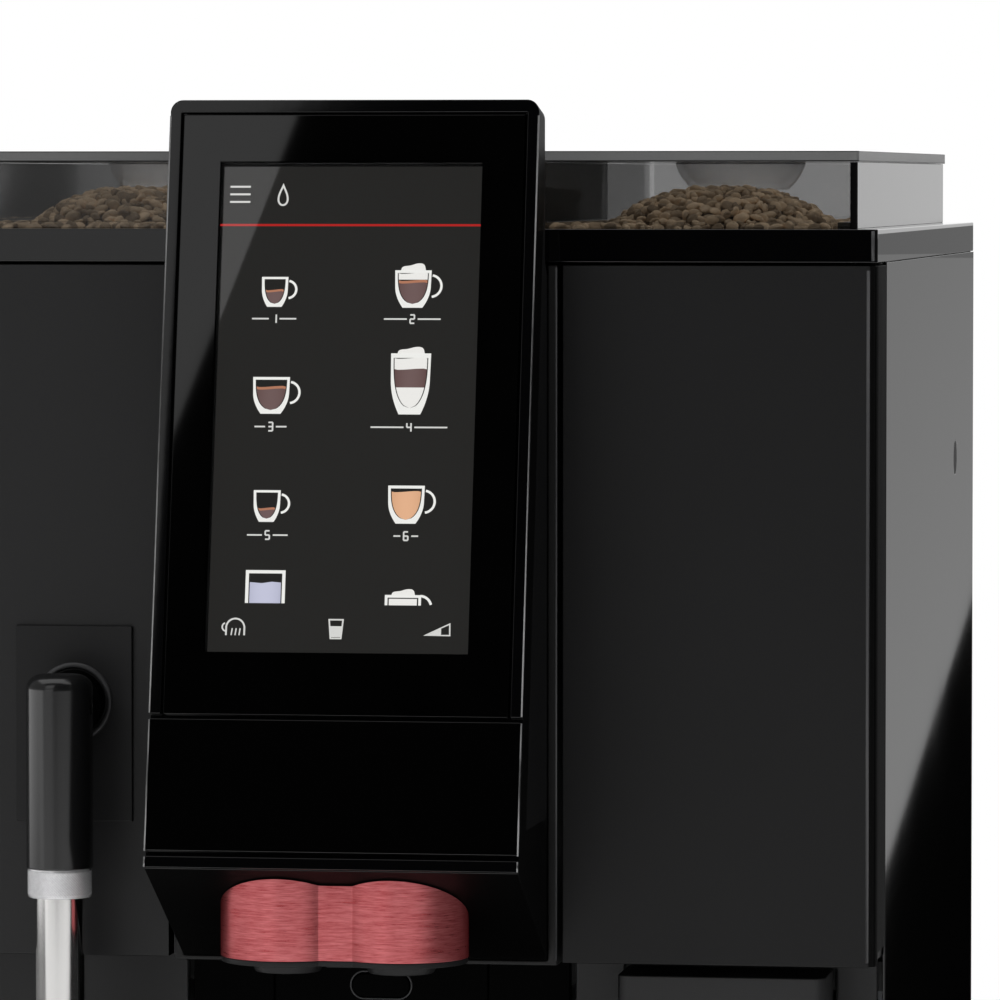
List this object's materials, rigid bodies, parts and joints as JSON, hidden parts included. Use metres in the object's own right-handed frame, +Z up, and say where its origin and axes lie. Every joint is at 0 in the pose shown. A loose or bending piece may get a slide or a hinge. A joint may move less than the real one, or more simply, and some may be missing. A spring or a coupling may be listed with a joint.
{
  "type": "coffee vending machine",
  "caption": "Counter-top hot coffee machine with leaning touch screen, height-adjustable twin spout, steam wand, bean hoppers, grounds drawer and drip tray",
  "frame": {"origin": "centre of the footprint, on the surface the feet stand on", "axes": "+Z up, the front with screen and spout faces -Y, +X to the right as seen from the front"},
  "size_m": [0.417, 0.573, 0.68],
  "materials": {
    "sheet_steel": "satin sheet steel",
    "rubber_foot": "black rubber",
    "black_paint": "gloss black paint",
    "grey_paint": "fine texture dark paint",
    "gloss_black": "polished black",
    "matt_black": "fine grain matt black",
    "column_black": "matt black",
    "black_glass": "black glass over the screen",
    "trim_metal": "dark anodised strip",
    "screen": "lit screen",
    "polished_steel": "polished steel",
    "red_aluminium": "brushed, red anodised",
    "chrome_tube": "bright chrome",
    "knurled_aluminium": "bright knurled",
    "grip_black": "matt grip",
    "clear_hopper": "clear moulding",
    "smoke_lid": "smoke tinted moulding",
    "roasted_beans": "light roasted beans",
    "dark_beans": "dark roasted beans",
    "cast_housing": "cast housing",
    "white_plastic": "natural moulding",
    "brass_boiler": "brass shell",
    "copper_boiler": "copper shell",
    "board_green": "lacquered board",
    "steel_grid": "satin steel"
  },
  "bodies": {
    "machine": {"base_pan": "grey_paint", "levelling_feet": "rubber_foot", "chassis": "sheet_steel", "rear_panel": "grey_paint", "left_side_panel": "black_paint", "right_side_panel": "black_paint", "top_cover": "gloss_black", "left_front_panel": "matt_black", "door_hinges": "sheet_steel", "column_frame": "column_black", "lower_left_panel": "matt_black", "lower_right_panel": "matt_black", "splash_back": "matt_black", "display_shell": "gloss_black", "display_glass": "black_glass", "lower_pane": "black_glass", "lip_strip": "trim_metal", "lcd_module": "screen", "guide_rails": "polished_steel", "steam_plate": "matt_black", "left_hopper": "clear_hopper", "right_hopper": "clear_hopper", "centre_hopper": "clear_hopper", "left_beans": "roasted_beans", "right_beans": "roasted_beans", "centre_beans": "dark_beans", "left_grinder": "cast_housing", "right_grinder": "cast_housing", "mixer_bowl": "white_plastic", "brewer": "cast_housing", "coffee_boiler": "brass_boiler", "steam_boiler": "copper_boiler", "water_pump": "cast_housing", "control_board": "board_green", "service_fittings": "brass_boiler"},
    "door": {"right_door": "matt_black"},
    "spout": {"spout_carriage": "column_black", "spout_apron": "gloss_black", "spout_cover": "red_aluminium", "spout_nozzles": "column_black"},
    "spout_button": {"release_button": "column_black"},
    "knuckle": {"steam_knuckle": "column_black"},
    "wand": {"steam_grip": "grip_black", "steam_ring": "knurled_aluminium", "steam_tube": "chrome_tube"},
    "left_hopper_lid": {"left_lid": "smoke_lid"},
    "right_hopper_lid": {"right_lid": "smoke_lid"},
    "centre_hopper_lid": {"centre_lid": "smoke_lid"},
    "left_hopper_gate": {"left_gate": "polished_steel"},
    "right_hopper_gate": {"right_gate": "polished_steel"},
    "left_burr_disc": {"left_burr": "polished_steel"},
    "right_burr_disc": {"right_burr": "polished_steel"},
    "mixer_whisk": {"whisk": "white_plastic"},
    "piston": {"brew_piston": "white_plastic"},
    "drawer": {"grounds_drawer": "matt_black"},
    "tray": {"drip_tray": "matt_black"},
    "grid": {"drip_grid": "steel_grid"},
    "fan": {"fan_rotor": "column_black"},
    "lock": {"side_lock": "column_black"},
    "rocker": {"power_rocker": "column_black"}
  },
  "joints": [
    {"name": "door_swing", "type": "hinge", "parent": "machine", "child": "door", "pos_m": [0.202, -0.1505, 0.472], "axis": [0, 0, 1], "range_deg": [0, 100]},
    {"name": "spout_height", "type": "slide", "parent": "machine", "child": "spout", "axis": [0, 0, -1], "range_m": [0, 0.105]},
    {"name": "spout_button_press", "type": "slide", "parent": "spout", "child": "spout_button", "axis": [0, 1, 0], "range_m": [0, 0.003], "stiffness_N_per_m": 300, "springref_m": -0.001},
    {"name": "wand_swing", "type": "hinge", "parent": "machine", "child": "knuckle", "pos_m": [-0.12, -0.1815, 0.435], "axis": [0, 1, 0], "range_deg": [-15, 35]},
    {"name": "wand_tilt", "type": "hinge", "parent": "knuckle", "child": "wand", "pos_m": [-0.12, -0.2115, 0.435], "axis": [-1, 0, 0], "range_deg": [0, 35]},
    {"name": "left_lid_lift", "type": "slide", "parent": "machine", "child": "left_hopper_lid", "axis": [0, 0, 1], "range_m": [0, 0.04]},
    {"name": "right_lid_lift", "type": "slide", "parent": "machine", "child": "right_hopper_lid", "axis": [0, 0, 1], "range_m": [0, 0.04]},
    {"name": "centre_lid_lift", "type": "slide", "parent": "machine", "child": "centre_hopper_lid", "axis": [0, 0, 1], "range_m": [0, 0.04]},
    {"name": "left_gate_pull", "type": "slide", "parent": "machine", "child": "left_hopper_gate", "axis": [0, -1, 0], "range_m": [0, 0.046]},
    {"name": "right_gate_pull", "type": "slide", "parent": "machine", "child": "right_hopper_gate", "axis": [0, -1, 0], "range_m": [0, 0.046]},
    {"name": "left_burr_spin", "type": "hinge", "parent": "machine", "child": "left_burr_disc", "pos_m": [-0.126, 0.1, 0.52], "axis": [0, 0, 1], "continuous": true},
    {"name": "right_burr_spin", "type": "hinge", "parent": "machine", "child": "right_burr_disc", "pos_m": [0.126, 0.1, 0.52], "axis": [0, 0, 1], "continuous": true},
    {"name": "whisk_spin", "type": "hinge", "parent": "machine", "child": "mixer_whisk", "pos_m": [0, -0.0635, 0.46], "axis": [0, 0, 1], "continuous": true},
    {"name": "piston_stroke", "type": "slide", "parent": "machine", "child": "piston", "axis": [0, 0, -1], "range_m": [0, 0.04]},
    {"name": "drawer_pull", "type": "slide", "parent": "machine", "child": "drawer", "axis": [0, -1, 0], "range_m": [0, 0.15]},
    {"name": "tray_pull", "type": "slide", "parent": "machine", "child": "tray", "axis": [0, -1, 0], "range_m": [0, 0.14]},
    {"name": "grid_lift", "type": "slide", "parent": "tray", "child": "grid", "axis": [0, 0, 1], "range_m": [0, 0.008]},
    {"name": "fan_spin", "type": "hinge", "parent": "machine", "child": "fan", "pos_m": [0, 0.268, 0.491], "axis": [0, 1, 0], "continuous": true},
    {"name": "side_lock_turn", "type": "hinge", "parent": "machine", "child": "lock", "pos_m": [0.2085, 0.1885, 0.522], "axis": [1, 0, 0], "range_deg": [0, 90]},
    {"name": "power_rocker_tip", "type": "hinge", "parent": "machine", "child": "rocker", "pos_m": [-0.15, 0.283, 0.118], "axis": [1, 0, 0], "range_deg": [-6, 0]}
  ]
}
